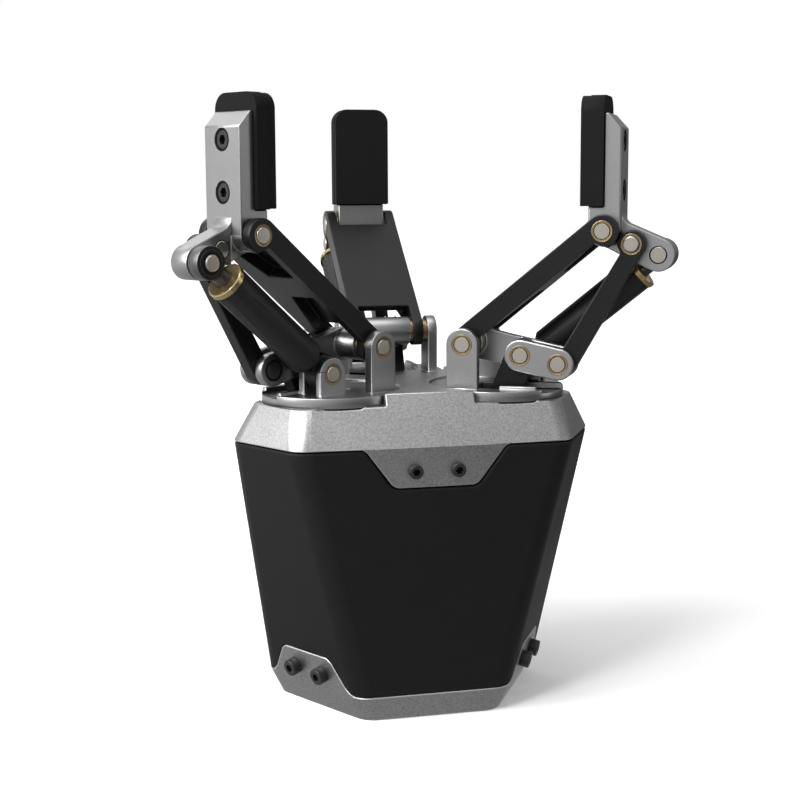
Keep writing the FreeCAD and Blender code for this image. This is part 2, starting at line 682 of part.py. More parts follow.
# The rounded tongue of a tab, as a prism across the face of the housing that it lies in
def tab_prism(label, facing, outline, rounds):
    body = new_body(label)
    pad(body, polygon(sketch_on(body, "YZ_Plane", "bottomApothem / 2"), outline), "topCorner")
    along = FreeCAD.Vector(1, 0, 0)
    for radius, corner in rounds:
        dress(body, "Fillet", radius, lambda edge: runs_along(edge, along) and corner(edge.Vertexes[0].Point))
    return place(body, in_finger(facing))


def cover_tab_outline(grow):
    top, low = "shellTop + 1", f"shellTop - coverTabDepth - {grow}"
    skirt = "(coverTabTop + 2 * tabRound)"
    return [(f"-{skirt}", top), (f"-{skirt}", "shellTop"), (f"-coverTabTop - {grow}", "shellTop"),
            (f"-coverTabBottom - {grow}", low), (f"coverTabBottom + {grow}", low),
            (f"coverTabTop + {grow}", "shellTop"), (skirt, "shellTop"), (skirt, top)]


# How far the outline runs on past the tab's foot, as a share of the foot's rounding
SKIRT_SHARE = 0.7


def base_tab_outline(grow):
    top, low = f"baseTabHeight + {grow}", "rimHeight - 1"
    skirt = f"(baseTabBottom + {SKIRT_SHARE} * footRound)"
    return [(skirt, low), (skirt, "rimHeight"), (f"baseTabBottom + {grow}", "rimHeight"),
            (f"baseTabTop + {grow}", top), (f"-baseTabTop - {grow}", top),
            (f"-baseTabBottom - {grow}", "rimHeight"), (f"-{skirt}", "rimHeight"), (f"-{skirt}", low)]


def cover_corner(point):
    return point.z < number("shellTop + seam") and abs(point.y) < number("coverTabTop + tabRound")


def base_corner_high(point):
    return point.z > number("(rimHeight + baseTabHeight) / 2")


def base_corner_low(point):
    foot = number("baseTabBottom + 2 * seam")
    return abs(point.z - number("rimHeight")) < number("seam") and abs(point.y) < foot


COVER_ROUNDS = (("tabRound", cover_corner),)
BASE_ROUNDS = (("tabRound", base_corner_high), ("footRound", base_corner_low))


def all_tabs(label, faces, outline, grow, rounds):
    return fuse(label, [tab_prism(f"{label}{i}", facing, outline(grow), rounds)
                        for i, facing in enumerate(faces)])


# Heads of the cap screws, two on each face
def screw_heads(label, faces, apothem, slope_run, height, pitch, head, head_height):
    lean = f"atan({slope_run} / (shellTop - rimHeight))"
    reach = f"({apothem} + {slope_run} * ({height} - rimHeight) / (shellTop - rimHeight))"
    heads = []
    for i, facing in enumerate(faces):
        pair = [rod(f"{label}Head{i}{side}", "X", head, "0", head_height, f"{sign} * {pitch} / 2")
                for side, sign in (("A", "-1"), ("B", "1"))]
        heads.append(place(together(f"{label}Pair{i}", pair), in_finger(facing, reach, height, lean)))
    return together(label, heads)


WIDE_FACES = ("(rearDirection - 180)", "(rearDirection - 60)", "(rearDirection + 60)")
NARROW_FACES = ("rearDirection", "(rearDirection - fingerPitch)", "(rearDirection + fingerPitch)")
WIDE_SLOPE = "(topFlat - rimFlat)"
NARROW_SLOPE = "(topCorner - rimCorner)"
CEILING_SHARE = f"(({COVER_CEILING} - shellTop) / (coverTop - shellTop))"

RIM = ("rimHeight", "rimFlat", "rimCorner")
TOP = ("shellTop", "topFlat", "topCorner")
INNER_TOP = ("shellTop", "(topFlat - shellWall)", "(topCorner - shellWall)")
CEILING = (COVER_CEILING, f"(topFlat - (topFlat - coverFlat) * {CEILING_SHARE} - shellWall)",
           f"(topCorner - (topCorner - coverCorner) * {CEILING_SHARE} - shellWall)")
shell_form = tapered_form("shellForm", RIM, TOP, "shellRound")
INNER_RIM = ("rimHeight", "(rimFlat - shellWall)", "(rimCorner - shellWall)")
cavity_form = tapered_form("cavityForm", INNER_RIM, INNER_TOP)


def base():
    foot = tapered_form("baseFoot", ("0", "bottomApothem", "bottomApothem"), RIM, "shellRound")
    tabs = doc.addObject("Part::Common", "baseTabs")
    tabs.Base = shell_form
    tabs.Tool = all_tabs("baseTab", NARROW_FACES, base_tab_outline, "0", BASE_ROUNDS)
    half = "flangeCircle / 2"
    spots = ((half, "0"), ("0", half), (f"-{half}", "0"), ("0", f"-{half}"))
    tools = [rod(f"flangeHole{i}", "Z", "flangeHole", "-1", "rimHeight + 1", x, y)
             for i, (x, y) in enumerate(spots)]
    return cut("base", fuse("baseSolid", [foot, cut("baseTabWalls", tabs, cavity_form)]),
               fuse("baseTools", tools))


def housing_shell():
    band = block("shellBand", "-2 * topCorner", "-2 * topCorner", "rimHeight + seam", "4 * topCorner",
                 "4 * topCorner", "shellTop - rimHeight - 2 * seam")
    wall = doc.addObject("Part::Common", "shellWall")
    wall.Base, wall.Tool = shell_form, band
    openings = [cavity_form, all_tabs("coverNotch", WIDE_FACES, cover_tab_outline, "seam", COVER_ROUNDS),
                all_tabs("baseNotch", NARROW_FACES, base_tab_outline, "seam", BASE_ROUNDS)]
    return cut("housing_shell", wall, fuse("shellTools", openings))


def top_cover():
    form = tapered_form("coverForm", TOP, ("coverTop", "coverFlat", "coverCorner"), "shellRound")
    tabs = doc.addObject("Part::Common", "coverTabs")
    tabs.Base = shell_form
    tabs.Tool = all_tabs("coverTab", WIDE_FACES, cover_tab_outline, "0", COVER_ROUNDS)
    tools = [cavity_form, tapered_form("coverCavity", INNER_TOP, CEILING)]
    apex = "stepHalf / cos(30)"
    for i, facing in enumerate(NARROW_FACES):
        shelf = new_body(f"coverShelf{i}")
        wedge = polygon(sketch_on(shelf, "XY_Plane", "coverShelf"), [
            (apex, "0"), (f"{apex} + topCorner * cos(60)", "-topCorner * sin(60)"),
            (f"{apex} + topCorner", "-topCorner * sin(60)"), (f"{apex} + topCorner", "topCorner * sin(60)"),
            (f"{apex} + topCorner * cos(60)", "topCorner * sin(60)")])
        pad(shelf, wedge, "coverTop - coverShelf + 1")
        tools.append(place(shelf, in_finger(facing)))
        pocket_disc = rod(f"discPocket{i}", "Z", "discRadius + pocketClearance", "pocketFloor", "coverTop + 1",
                          f"discRadial * cos({facing})", f"discRadial * sin({facing})")
        bore = rod(f"seatBore{i}", "Z", "seatRadius", f"{COVER_CEILING} - 1", "coverTop + 1",
                   f"discRadial * cos({facing})", f"discRadial * sin({facing})")
        tools += [pocket_disc, bore]
    return cut("top_cover", fuse("coverSolid", [form, tabs]), fuse("coverTools", tools))


def drive_motor():
    return block("drive_motor", "-motorHalf", "-motorHalf", "rimHeight", "2 * motorHalf", "2 * motorHalf",
                 "motorHeight")


def lead_screw():
    return rod("lead_screw", "Z", "screwRadius", "rimHeight + motorHeight + faceGap", "screwTop")


# The yoke rides up and down the lead screw and carries the three push rods
def drive_yoke():
    body = new_body("drive_yoke")
    half = "yokeArm / 2"
    for facing in NARROW_FACES:
        corners = [(x, y) for x, y in (("0", f"-{half}"), ("discRadial + yokeEnd", f"-{half}"),
                                       ("discRadial + yokeEnd", half), ("0", half))]
        turned = [(f"({x}) * cos({facing}) - ({y}) * sin({facing})",
                   f"({x}) * sin({facing}) + ({y}) * cos({facing})") for x, y in corners]
        pad(body, polygon(sketch_on(body, "XY_Plane", "yokeBottom"), turned), "yokeThickness")
    bores = sketch_on(body, "XY_Plane", "yokeBottom")
    circle(bores, "0", "0", "screwRadius + runningGap")
    for facing in NARROW_FACES:
        circle(bores, f"discRadial * cos({facing})", f"discRadial * sin({facing})", "rodRadius + runningGap")
    pocket(body, bores, "yokeThickness + 1", "+")
    return body


node(base())
node(housing_shell())
node(top_cover())
node(screw_heads("base_screws", NARROW_FACES, "rimCorner", NARROW_SLOPE, "baseScrewHeight", "baseScrewPitch",
                 "bigHead", "bigHeadHeight"))
node(screw_heads("cover_screws", WIDE_FACES, "rimFlat", WIDE_SLOPE, "coverScrewHeight", "coverScrewPitch",
                 "smallHead", "smallHeadHeight"))
node(drive_motor())
node(lead_screw())
node(drive_yoke())

doc.recompute()
for item in doc.Objects:
    if "Invalid" in item.State or "Error" in item.State:
        raise RuntimeError(f"{item.Name} did not build: {item.getStatusString()}")
os.makedirs("parts", exist_ok=True)
for piece in nodes:
    if piece.Shape.isNull() or not piece.Shape.isValid():
        raise RuntimeError(f"{piece.Label} has no valid shape")
    piece.Shape.exportStep(f"parts/{piece.Label}.step")
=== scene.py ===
import math

import bpy
from mathutils import Matrix, Quaternion, Vector


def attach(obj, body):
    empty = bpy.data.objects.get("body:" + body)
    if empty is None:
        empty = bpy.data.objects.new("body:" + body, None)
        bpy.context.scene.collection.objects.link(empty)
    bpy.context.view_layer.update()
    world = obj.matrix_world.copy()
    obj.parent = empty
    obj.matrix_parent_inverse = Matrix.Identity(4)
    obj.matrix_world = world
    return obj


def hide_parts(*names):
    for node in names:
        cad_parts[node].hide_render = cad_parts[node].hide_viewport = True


# Three jaw gripper: a silver base and cover on a black housing, three fingers of links on the cover.
# A finger's own frame has X outwards, Y across and Z up, and is turned about Z to its direction.

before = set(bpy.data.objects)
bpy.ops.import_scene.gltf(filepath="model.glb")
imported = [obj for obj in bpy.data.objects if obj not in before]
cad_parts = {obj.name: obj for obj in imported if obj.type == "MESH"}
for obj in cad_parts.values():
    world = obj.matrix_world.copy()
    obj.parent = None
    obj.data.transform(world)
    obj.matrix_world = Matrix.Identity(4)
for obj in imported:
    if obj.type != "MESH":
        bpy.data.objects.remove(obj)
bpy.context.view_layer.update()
mm = 0.001
directions = {"rear": 90, "right": -30, "left": -150}
pivots = {  # outwards and up, millimetres
    "shoulder": (24.76, 118.45), "wrist": (68.43, 154.50), "drivePin": (77.10, 150.40),
    "strutTop": (84.93, 146.89), "strutFoot": (41.26, 110.84), "crankHead": (54.64, 112.19),
    "elbow": (42.43, 114.75)}
widestFacet = 0.8
mostCorners = 7
sharpAngle = 38
smoothAngles = {"machined": 32, "disc": 25, "screw": 30}
roundSides = {"disc": 56, "washer": 48, "screw": 44}
meshCare = {"merge": 0.002, "flatten": 0.4}  # millimetres, degrees
grainLook = {"fineDetail": 1.0, "broadDetail": 3.0, "broadScale": 55.0, "roughnessShare": 0.12}
edgeHighlightRange = (0.995, 0.9, 0, 1)
print("frame loaded")


def only(*pieces):
    bpy.ops.object.select_all(action="DESELECT")
    for piece in pieces:
        piece.select_set(True)
    bpy.context.view_layer.objects.active = pieces[0]


def editAll(piece):
    only(piece)
    bpy.ops.object.mode_set(mode="EDIT")
    bpy.ops.mesh.select_all(action="SELECT")


def leaveEdit():
    bpy.ops.object.mode_set(mode="OBJECT")


def applied(piece, kind, **settings):
    only(piece)
    bpy.ops.object.modifier_add(type=kind)
    modifier = piece.modifiers[-1]
    for key, value in settings.items():
        setattr(modifier, key, value)
    bpy.ops.object.modifier_apply(modifier=modifier.name)


# Rounded faces are shaded as one; a face that is wider than a facet of theirs, or has more corners, is a
# flat one and stays plain
def smoothed(piece, angle=smoothAngles["machined"]):
    only(piece)
    bpy.ops.object.shade_smooth_by_angle(angle=math.radians(angle))
    corners = piece.data.vertices
    for face in piece.data.polygons:
        rim = sum((corners[here].co - corners[there].co).length for here, there in face.edge_keys)
        face.use_smooth = face.area < widestFacet * mm * rim and len(face.vertices) < mostCorners


def copied(piece, name):
    twin = bpy.data.objects.new(name, piece.data.copy())
    bpy.context.scene.collection.objects.link(twin)
    return twin


def placed(piece, matrix):
    piece.matrix_world = matrix
    only(piece)
    bpy.ops.object.transform_apply(location=True, rotation=True, scale=True)


def discarded(piece):
    only(piece)
    bpy.ops.object.delete()


def turned(direction):
    return Matrix.Rotation(math.radians(direction), 4, "Z")


def inFinger(point, direction):
    return (turned(-direction) @ point) / mm


# A seat on the side of a finger: the piece's Z looks across, to the side that has the sign
def sideSeat(direction, pivot, across):
    quarter = -90 if across > 0 else 90
    place = Vector((pivot[0], across, pivot[1])) * mm
    return turned(direction) @ Matrix.Translation(place) @ Matrix.Rotation(math.radians(quarter), 4, "X")


# A seat that looks outwards, leaning down by some degrees
def outwardSeat(direction, outwards, across, up, lean=0):
    place = Vector((outwards, across, up)) * mm
    return turned(direction) @ Matrix.Translation(place) @ Matrix.Rotation(math.radians(90 + lean), 4, "Y")


def newGroup(name, inputs, outputs):
    group = bpy.data.node_groups.new(name, "ShaderNodeTree")
    for label, kind, value in inputs:
        socket = group.interface.new_socket(name=label, in_out="INPUT", socket_type="NodeSocket" + kind)
        socket.default_value = value
    for label, kind in outputs:
        group.interface.new_socket(name=label, in_out="OUTPUT", socket_type="NodeSocket" + kind)
    return group


def addNode(tree, kind, **settings):
    made = tree.nodes.new("ShaderNode" + kind)
    for key, value in settings.items():
        setattr(made, key, value)
    return made


def mathNode(tree, operation, first, second):
    made = addNode(tree, "Math", operation=operation)
    for socket, value in zip(made.inputs, (first, second)):
        if isinstance(value, (int, float)):
            socket.default_value = value
        else:
            tree.links.new(value, socket)
    return made.outputs[0]


# A value taken from one range to another: from its lowest and highest, to theirs
def ranged(tree, value, ends):
    made = addNode(tree, "MapRange")
    for label, end in zip(("From Min", "From Max", "To Min", "To Max"), ends):
        made.inputs[label].default_value = end
    tree.links.new(value, made.inputs["Value"])
    return made.outputs["Result"]


# Fine grain of a blasted, anodised or moulded face: a tone, a roughness and a height that change over it
def makeGrain():
    tree = newGroup("surfaceGrain",
                     [("Colour", "Color", (0.5, 0.5, 0.5, 1)), ("Grain Size", "Float", 0.4),
                      ("Tone Change", "Float", 0.1), ("Roughness", "Float", 0.4),
                      ("Patchiness", "Float", 0.05)],
                     [("Colour", "Color"), ("Roughness", "Float"), ("Height", "Float")])
    enter = tree.nodes.new("NodeGroupInput")
    leave = tree.nodes.new("NodeGroupOutput")
    place = addNode(tree, "TexCoord")
    scale = mathNode(tree, "DIVIDE", 1 / mm, enter.outputs["Grain Size"])
    fine = addNode(tree, "TexNoise")
    fine.inputs["Detail"].default_value = grainLook["fineDetail"]
    tree.links.new(place.outputs["Object"], fine.inputs["Vector"])
    tree.links.new(scale, fine.inputs["Scale"])
    broad = addNode(tree, "TexNoise")
    broad.inputs["Scale"].default_value = grainLook["broadScale"]
    broad.inputs["Detail"].default_value = grainLook["broadDetail"]
    tree.links.new(place.outputs["Object"], broad.inputs["Vector"])
    fineShift = mathNode(tree, "SUBTRACT", fine.outputs["Fac"], 0.5)
    broadShift = mathNode(tree, "SUBTRACT", broad.outputs["Fac"], 0.5)
    tone = mathNode(tree, "MULTIPLY", fineShift, enter.outputs["Tone Change"])
    patch = mathNode(tree, "MULTIPLY", broadShift, enter.outputs["Patchiness"])
    factor = mathNode(tree, "ADD", mathNode(tree, "ADD", tone, patch), 1.0)
    shade = addNode(tree, "VectorMath", operation="SCALE")
    tree.links.new(enter.outputs["Colour"], shade.inputs[0])
    tree.links.new(factor, shade.inputs["Scale"])
    tree.links.new(shade.outputs[0], leave.inputs["Colour"])
    change = mathNode(tree, "MULTIPLY", broadShift, grainLook["roughnessShare"])
    rough = mathNode(tree, "ADD", change, enter.outputs["Roughness"])
    tree.links.new(rough, leave.inputs["Roughness"])
    tree.links.new(fine.outputs["Fac"], leave.inputs["Height"])
    return tree


# Where a face turns into an edge: 1 on edges, which get a painted highlight, 0 on flat faces
def makeEdgeHighlight():
    tree = newGroup("paintedEdgeHighlight", [("Width", "Float", 0.0004)], [("Mask", "Float")])
    enter = tree.nodes.new("NodeGroupInput")
    leave = tree.nodes.new("NodeGroupOutput")
    rounded = addNode(tree, "Bevel", samples=6)
    tree.links.new(enter.outputs["Width"], rounded.inputs["Radius"])
    flat = addNode(tree, "NewGeometry")
    facing = addNode(tree, "VectorMath", operation="DOT_PRODUCT")
    tree.links.new(rounded.outputs["Normal"], facing.inputs[0])
    tree.links.new(flat.outputs["Normal"], facing.inputs[1])
    mask = ranged(tree, facing.outputs["Value"], edgeHighlightRange)
    tree.links.new(mask, leave.inputs["Mask"])
    return tree


grainGroup = makeGrain()
edgeHighlightGroup = makeEdgeHighlight()
finishes = {}


def finish(name, look):
    made = bpy.data.materials.new(name)
    made.use_nodes = True
    tree = made.node_tree
    shader = tree.nodes["Principled BSDF"]
    shader.inputs["Metallic"].default_value = look["metallic"]
    shader.inputs["Specular IOR Level"].default_value = look.get("specular", 0.5)
    grain = addNode(tree, "Group", node_tree=grainGroup)
    grain.inputs["Colour"].default_value = (*look["colour"], 1)
    grain.inputs["Grain Size"].default_value = look["grainSize"]
    grain.inputs["Tone Change"].default_value = look["toneChange"]
    grain.inputs["Roughness"].default_value = look["roughness"]
    grain.inputs["Patchiness"].default_value = look.get("patchiness", 0.08)
    colour = grain.outputs["Colour"]
    # Edges take a lighter colour here: a painted highlight
    if "edgeHighlightColour" in look:
        edges = addNode(tree, "Group", node_tree=edgeHighlightGroup)
        edges.inputs["Width"].default_value = look.get("edgeHighlightWidth", 0.35) * mm
        highlighted = addNode(tree, "Mix", data_type="RGBA")
        highlighted.inputs["B"].default_value = (*look["edgeHighlightColour"], 1)
        tree.links.new(edges.outputs["Mask"], highlighted.inputs["Factor"])
        tree.links.new(colour, highlighted.inputs["A"])
        colour = highlighted.outputs["Result"]
    tree.links.new(colour, shader.inputs["Base Color"])
    tree.links.new(grain.outputs["Roughness"], shader.inputs["Roughness"])
    bump = addNode(tree, "Bump")
    bump.inputs["Strength"].default_value = look.get("bumpStrength", 0.35)
    bump.inputs["Distance"].default_value = look["grainHeight"] * mm
    tree.links.new(grain.outputs["Height"], bump.inputs["Height"])
    if "roundWidth" in look:
        rounded = addNode(tree, "Bevel", samples=8)
        rounded.inputs["Radius"].default_value = look["roundWidth"] * mm
        tree.links.new(rounded.outputs["Normal"], bump.inputs["Normal"])
    tree.links.new(bump.outputs["Normal"], shader.inputs["Normal"])
    finishes[name] = made


# Each finish's edge colour below is a painted highlight along the part's edges
finish("blastedAluminium", {
    "colour": (0.36, 0.36, 0.36), "edgeHighlightColour": (0.62, 0.62, 0.62), "edgeHighlightWidth": 0.45, "metallic": 1.0,
    "roughness": 0.4, "grainSize": 0.5, "toneChange": 1.0, "grainHeight": 0.06, "patchiness": 0.06})
# The base's aluminium, with a wide painted highlight along its rims and rounded shading normals there
finish("rimHighlightAluminium", {
    "colour": (0.36, 0.36, 0.36), "edgeHighlightColour": (0.75, 0.75, 0.75), "edgeHighlightWidth": 0.9, "metallic": 1.0,
    "roughness": 0.4, "grainSize": 0.5, "toneChange": 1.0, "grainHeight": 0.06, "patchiness": 0.06,
    "roundWidth": 0.8})
finish("machinedAluminium", {
    "colour": (0.30, 0.30, 0.30), "edgeHighlightColour": (0.66, 0.66, 0.66), "edgeHighlightWidth": 0.35, "metallic": 1.0,
    "roughness": 0.36, "grainSize": 0.3, "toneChange": 0.3, "grainHeight": 0.018, "patchiness": 0.08})
finish("housingBlack", {
    "colour": (0.006, 0.006, 0.006), "metallic": 0.0, "specular": 0.17, "roughness": 0.5,
    "grainSize": 0.5, "toneChange": 0.3, "grainHeight": 0.02})
finish("linkBlack", {
    "colour": (0.006, 0.006, 0.006), "edgeHighlightColour": (0.06, 0.06, 0.06), "edgeHighlightWidth": 0.25, "metallic": 0.0,
    "specular": 0.2, "roughness": 0.36, "grainSize": 0.4, "toneChange": 0.35, "grainHeight": 0.02})
finish("tubeBlack", {
    "colour": (0.008, 0.008, 0.008), "metallic": 0.0, "specular": 0.3, "roughness": 0.5, "grainSize": 0.4,
    "toneChange": 0.35, "grainHeight": 0.02})
finish("padBlack", {
    "colour": (0.007, 0.007, 0.007), "metallic": 0.0, "specular": 0.1, "roughness": 0.75,
    "grainSize": 0.3, "toneChange": 0.3, "grainHeight": 0.03})
finish("pinSteel", {
    "colour": (0.40, 0.37, 0.33), "edgeHighlightColour": (0.66, 0.63, 0.58), "edgeHighlightWidth": 0.12, "metallic": 1.0,
    "roughness": 0.3, "grainSize": 0.5, "toneChange": 0.1, "grainHeight": 0.006})
finish("bushBronze", {
    "colour": (0.25, 0.18, 0.10), "edgeHighlightColour": (0.5, 0.38, 0.2), "edgeHighlightWidth": 0.1, "metallic": 1.0,
    "roughness": 0.34, "grainSize": 0.4, "toneChange": 0.12, "grainHeight": 0.006})
finish("bushRim", {
    "colour": (0.30, 0.225, 0.125), "edgeHighlightColour": (0.46, 0.36, 0.21), "edgeHighlightWidth": 0.08, "metallic": 1.0,
    "roughness": 0.36, "grainSize": 0.4, "toneChange": 0.15, "grainHeight": 0.006})
finish("collarBrass", {
    "colour": (0.44, 0.34, 0.17), "edgeHighlightColour": (0.85, 0.70, 0.42), "edgeHighlightWidth": 0.3, "metallic": 1.0,
    "roughness": 0.3, "grainSize": 0.4, "toneChange": 0.12, "grainHeight": 0.01})
# A darker copy of the collar's brass: painted shade inside its countersink
finish("countersink", {
    "colour": (0.11, 0.08, 0.045), "metallic": 1.0, "roughness": 0.4, "grainSize": 0.4, "toneChange": 0.15,
    "grainHeight": 0.01})
finish("stemSteel", {
    "colour": (0.10, 0.095, 0.088), "metallic": 1.0, "roughness": 0.3, "grainSize": 0.4, "toneChange": 0.2,
    "grainHeight": 0.008})
finish("eyeSteel", {
    "colour": (0.12, 0.12, 0.12), "edgeHighlightColour": (0.3, 0.3, 0.3), "metallic": 1.0, "roughness": 0.42,
    "grainSize": 0.4, "toneChange": 0.2, "grainHeight": 0.012})
finish("screwBlack", {
    "colour": (0.022, 0.022, 0.023), "edgeHighlightColour": (0.09, 0.09, 0.09), "edgeHighlightWidth": 0.12, "metallic": 0.4,
    "roughness": 0.36, "grainSize": 0.3, "toneChange": 0.25, "grainHeight": 0.01})
# Near-black and dull: painted shade that stands for gaps, holes and sockets
finish("darkGap", {
    "colour": (0.006, 0.006, 0.006), "metallic": 0.0, "specular": 0.1, "roughness": 0.8, "grainSize": 0.3,
    "toneChange": 0.1, "grainHeight": 0.005})
finish("motorDark", {
    "colour": (0.05, 0.05, 0.055), "edgeHighlightColour": (0.12, 0.12, 0.12), "metallic": 0.6, "roughness": 0.5,
    "grainSize": 0.6, "toneChange": 0.2, "grainHeight": 0.02})
print("finishes made")


def painted(piece, names, choose=None):
    piece.data.materials.clear()
    for name in names:
        piece.data.materials.append(finishes[name])
    for face in piece.data.polygons:
        face.material_index = names.index(choose(face)) if choose else 0


# The machined parts. Where the width is 0 the edges stay, or are broken in a way of their own

partLooks = {
    # part: the finish, the width of its broken edges, the record's slot
    "turntable": ("machinedAluminium", 0.35, "silver"),
    "main_link": ("linkBlack", 0.35, "black_link"),
    "fingertip": ("machinedAluminium", 0.4, "silver"),
    "fingertip_pad": ("padBlack", 0.09, "pad"),
    "crank": ("machinedAluminium", 0.5, "silver"),
    "drive_link": ("linkBlack", 0.4, "black_link"),
    "push_link": ("linkBlack", 0.3, "black_link"),
    "strut_tube": ("linkBlack", 0.25, "strut"),
    "strut_rod": ("eyeSteel", 0.3, "strut"),
    "base": ("rimHighlightAluminium", 0, "silver"),
    "housing_shell": ("housingBlack", 0, "shell"),
    "top_cover": ("blastedAluminium", 0.4, "silver"),
}
bodyOf = {"turntable": "turntable", "main_link": "link", "fingertip": "tip", "fingertip_pad": "tip",
          "crank": "crank", "drive_link": "drive", "push_link": "push", "strut_tube": "strut",
          "strut_rod": "strut"}


def fingerBody(finger, part):
    if finger == "rear" and part == "turntable":
        return "base"
    return finger + "_" + bodyOf[part]


# The main link's arms are shallower than its solid's: their lower edges go up, and along to the round ends
armLook = {"lean": 39.54, "length": 56.62, "edge": -3.2, "raise": 1.8, "spread": 0.74, "near": 0.05,
           "end": 8.0}


def shallower(piece, direction):
    lean = math.radians(armLook["lean"])
    foot = pivots["shoulder"]
    along = turned(direction) @ Vector((math.cos(lean), 0, math.sin(lean)))
    upwards = turned(direction) @ Vector((-math.sin(lean), 0, math.cos(lean)))
    start = turned(direction) @ (Vector((foot[0], 0, foot[1])) * mm)
    editAll(piece)
    bpy.ops.mesh.select_all(action="DESELECT")
    leaveEdit()
    offsets = [point.co - start for point in piece.data.vertices]
    places = [(along.dot(offset) / mm, upwards.dot(offset) / mm) for offset in offsets]
    moves = ((lambda reach: True, upwards * armLook["raise"]),
             (lambda reach: reach < armLook["end"], along * armLook["spread"]),
             (lambda reach: reach > armLook["length"] - armLook["end"], -along * armLook["spread"]))
    for chosen, way in moves:
        for point, (reach, height) in zip(piece.data.vertices, places):
            point.select = abs(height - armLook["edge"]) < armLook["near"] and chosen(reach)
        bpy.ops.object.mode_set(mode="EDIT")
        bpy.ops.transform.translate(value=way * mm)
        leaveEdit()


shellLook = {"lowest": 25, "edge": 0.8}


# Breaks the edges above a level; the thin feet of the shell's lower notches stay as they are
def brokenAbove(piece, level, width):
    only(piece)
    bpy.ops.object.mode_set(mode="EDIT")
    bpy.ops.mesh.select_mode(type="EDGE")
    bpy.ops.mesh.select_all(action="DESELECT")
    bpy.ops.mesh.edges_select_sharp(sharpness=math.radians(sharpAngle))
    leaveEdit()
    corners = piece.data.vertices
    for edge in piece.data.edges:
        lowest = min(corners[spot].co.z for spot in edge.vertices)
        edge.select = edge.select and lowest > level * mm
    bpy.ops.object.mode_set(mode="EDIT")
    bpy.ops.mesh.bevel(offset=width * mm, segments=2)
    bpy.ops.mesh.select_mode(type="VERT")
    leaveEdit()


def machined(node, body, part, direction=0):
    look, edge, slot = partLooks[part]
    piece = copied(bpy.data.objects[node], node + "_machined")
    editAll(piece)
    bpy.ops.mesh.remove_doubles(threshold=meshCare["merge"] * mm)
    bpy.ops.mesh.dissolve_limited(angle_limit=math.radians(meshCare["flatten"]))
    leaveEdit()
    if part == "main_link":
        shallower(piece, direction)
    if edge:
        applied(piece, "BEVEL", limit_method="ANGLE", angle_limit=math.radians(sharpAngle),
                width=edge * mm, segments=2, use_clamp_overlap=False, miter_outer="MITER_ARC")
    if part == "housing_shell":
        brokenAbove(piece, shellLook["lowest"], shellLook["edge"])
    smoothed(piece)
    painted(piece, [look])
    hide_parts(node)
    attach(piece, body)
    return piece


strutLook = {"angle": 39.54, "collarFrom": 46.8, "collarEnd": 48.5, "eyeReach": 5.3, "middle": 6.7,
             "sideways": 0.7}
crankPins = (-8.9, -4.1)  # where the pins of the crank show, across the finger


def alongStrut(point):
    foot = pivots["strutFoot"]
    lean = math.radians(strutLook["angle"])
    return (point.x - foot[0]) * math.cos(lean) + (point.z - foot[1]) * math.sin(lean)


machinedParts = {}
for finger, direction in directions.items():
    for part in bodyOf:
        node = finger + "_" + part
        machinedParts[node] = machined(node, fingerBody(finger, part), part, direction)

    def tubeFinish(face):
        along = alongStrut(inFinger(face.center, direction))
        return "collarBrass" if along > strutLook["collarFrom"] else "tubeBlack"

    def rodFinish(face):
        top = pivots["strutTop"]
        spot = inFinger(face.center, direction)
        if math.hypot(spot.x - top[0], spot.z - top[1]) > strutLook["eyeReach"]:
            return "stemSteel"
        sideways = abs((turned(-direction) @ face.normal).y)
        return "linkBlack" if sideways > strutLook["sideways"] else "eyeSteel"

    def crankFinish(face):
        across = inFinger(face.center, direction).y
        return "pinSteel" if crankPins[0] < across < crankPins[1] else "machinedAluminium"

    painted(machinedParts[finger + "_strut_tube"], ["tubeBlack", "collarBrass"], tubeFinish)
    painted(machinedParts[finger + "_strut_rod"], ["eyeSteel", "stemSteel", "linkBlack"], rodFinish)
    painted(machinedParts[finger + "_crank"], ["machinedAluminium", "pinSteel"], crankFinish)
    print(finger, "finger machined")

for part in ("base", "housing_shell", "top_cover"):
    machinedParts[part] = machined(part, "base", part)
print("housing machined")

innerLooks = {"drive_motor": "motorDark", "lead_screw": "stemSteel", "drive_yoke": "motorDark",
              "rear_push_rod": "stemSteel", "right_push_rod": "stemSteel", "left_push_rod": "stemSteel"}
for node, look in innerLooks.items():
    for slot in bpy.data.objects[node].material_slots:
        slot.material = finishes[look]


# Pin ends and plain bearings, turned as one stepped disc each
def steppedDisc(name, steps):
    radius, height, look = steps[0]
    bpy.ops.mesh.primitive_circle_add(vertices=roundSides["disc"], radius=radius * mm, fill_type="NGON",
                                      location=(0, 0, height * mm))
    piece = bpy.context.object
    piece.name = name
    placed(piece, piece.matrix_world.copy())
    editAll(piece)
    for nextRadius, nextHeight, nextLook in steps[1:]:
        bpy.ops.mesh.inset(thickness=(radius - nextRadius) * mm, depth=(nextHeight - height) * mm)
        radius, height = nextRadius, nextHeight
    leaveEdit()
    names = []
    for step in steps:
        if step[2] not in names:
            names.append(step[2])

    def byRadius(face):
        reach = math.hypot(face.center.x, face.center.y) / mm
        return [step[2] for step in steps if reach <= step[0] or step is steps[0]][-1]

    painted(piece, names, byRadius)
    smoothed(piece, smoothAngles["disc"])
    return piece
